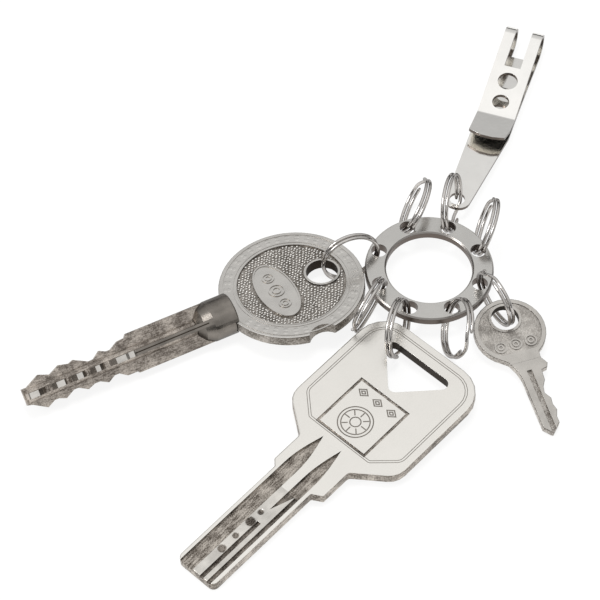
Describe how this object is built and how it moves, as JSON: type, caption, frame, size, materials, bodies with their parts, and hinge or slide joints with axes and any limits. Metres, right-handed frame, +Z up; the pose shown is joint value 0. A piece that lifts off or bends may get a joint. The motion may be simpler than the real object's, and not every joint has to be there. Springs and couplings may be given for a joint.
{
  "type": "carabiner keychain",
  "caption": "Flat round ring plate carrying split rings, with a folded strip clip to hang it by and keys of different kinds on it, lying on a table.",
  "frame": {"origin": "on the table, under the middle of the whole set's bounding box", "axes": "+Z up from the table, +X to the right and +Y away from the viewer, as the set lies in the picture"},
  "size_m": [0.1159, 0.1479, 0.0146],
  "materials": {
    "clip_steel": "smooth bright rolled strip",
    "plate_nickel": "bright plated, lightly brushed faces",
    "ring_nickel": "bright plated spring wire",
    "dimple_nickel": "pale satin plated",
    "bow_nickel": "satin plated, textured field",
    "blade_nickel": "milled and plated",
    "small_nickel": "worn satin plated"
  },
  "bodies": {
    "ring_plate": {"ring_plate": "plate_nickel"},
    "split_ring_1": {"split_ring_1": "ring_nickel"},
    "split_ring_2": {"split_ring_2": "ring_nickel"},
    "split_ring_3": {"split_ring_3": "ring_nickel"},
    "split_ring_4": {"split_ring_4": "ring_nickel"},
    "split_ring_5": {"split_ring_5": "ring_nickel"},
    "split_ring_6": {"split_ring_6": "ring_nickel"},
    "split_ring_7": {"split_ring_7": "ring_nickel"},
    "split_ring_8": {"split_ring_8": "ring_nickel"},
    "suspension_clip": {"suspension_clip": "clip_steel"},
    "small_key": {"small_key": "small_nickel"},
    "dimple_key": {"dimple_key": "dimple_nickel"},
    "cross_key": {"cross_key_bow": "bow_nickel", "cross_key_blade": "blade_nickel"}
  },
  "joints": [
    {"name": "ring_1_swing", "type": "hinge", "parent": "ring_plate", "child": "split_ring_1", "pos_m": [0.02453, 0.01335, 0.00551], "axis": [0.9613, -0.2756, 0], "range_deg": [-35, 5]},
    {"name": "ring_2_swing", "type": "hinge", "parent": "ring_plate", "child": "split_ring_2", "pos_m": [0.03322, 0.01333, 0.0052], "axis": [0.9848, -0.1736, 0], "range_deg": [-25, 2.5]},
    {"name": "ring_3_swing", "type": "hinge", "parent": "ring_plate", "child": "split_ring_3", "pos_m": [0.03994, 0.00715, 0.00531], "axis": [0.9613, -0.2756, 0], "range_deg": [-35, 5]},
    {"name": "ring_4_swing", "type": "hinge", "parent": "ring_plate", "child": "split_ring_4", "pos_m": [0.04007, -0.00159, 0.00494], "axis": [-0.8846, -0.4664, 0], "range_deg": [-25, 8]},
    {"name": "ring_5_swing", "type": "hinge", "parent": "ring_plate", "child": "split_ring_5", "pos_m": [0.03323, -0.00752, 0.00529], "axis": [-0.9833, -0.1822, 0], "range_deg": [-15, 8]},
    {"name": "ring_6_swing", "type": "hinge", "parent": "ring_plate", "child": "split_ring_6", "pos_m": [0.02383, -0.00842, 0.00505], "axis": [-0.9323, 0.3616, 0], "range_deg": [-12, 5]},
    {"name": "ring_7_swing", "type": "hinge", "parent": "ring_plate", "child": "split_ring_7", "pos_m": [0.01832, -0.00224, 0.00538], "axis": [-0.8942, 0.4478, 0], "range_deg": [-8, 0]},
    {"name": "ring_8_swing", "type": "hinge", "parent": "ring_plate", "child": "split_ring_8", "pos_m": [0.01768, 0.00696, 0.00564], "axis": [-0.3239, 0.9461, 0], "range_deg": [-2, 2]},
    {"name": "suspension_clip_hang", "type": "hinge", "parent": "split_ring_2", "child": "suspension_clip", "pos_m": [0.03603, 0.02302, 0.00374], "axis": [0.0671, 0.7048, 0.7062], "range_deg": [-12, 10]},
    {"name": "small_key_hang", "type": "hinge", "parent": "split_ring_4", "child": "small_key", "pos_m": [0.04553, -0.01073, 0.0035], "axis": [0.2553, -0.5825, 0.7717], "range_deg": [-40, 40]},
    {"name": "dimple_key_hang", "type": "hinge", "parent": "split_ring_6", "child": "dimple_key", "pos_m": [0.02056, -0.01925, 0.00351], "axis": [-0.3057, -0.4704, 0.8278], "range_deg": [-8, 4]},
    {"name": "cross_key_hang", "type": "hinge", "parent": "split_ring_8", "child": "cross_key", "pos_m": [0.00629, 0.00273, 0.0045], "axis": [-0.3513, -0.0269, 0.9359], "range_deg": [-30, 0]}
  ]
}
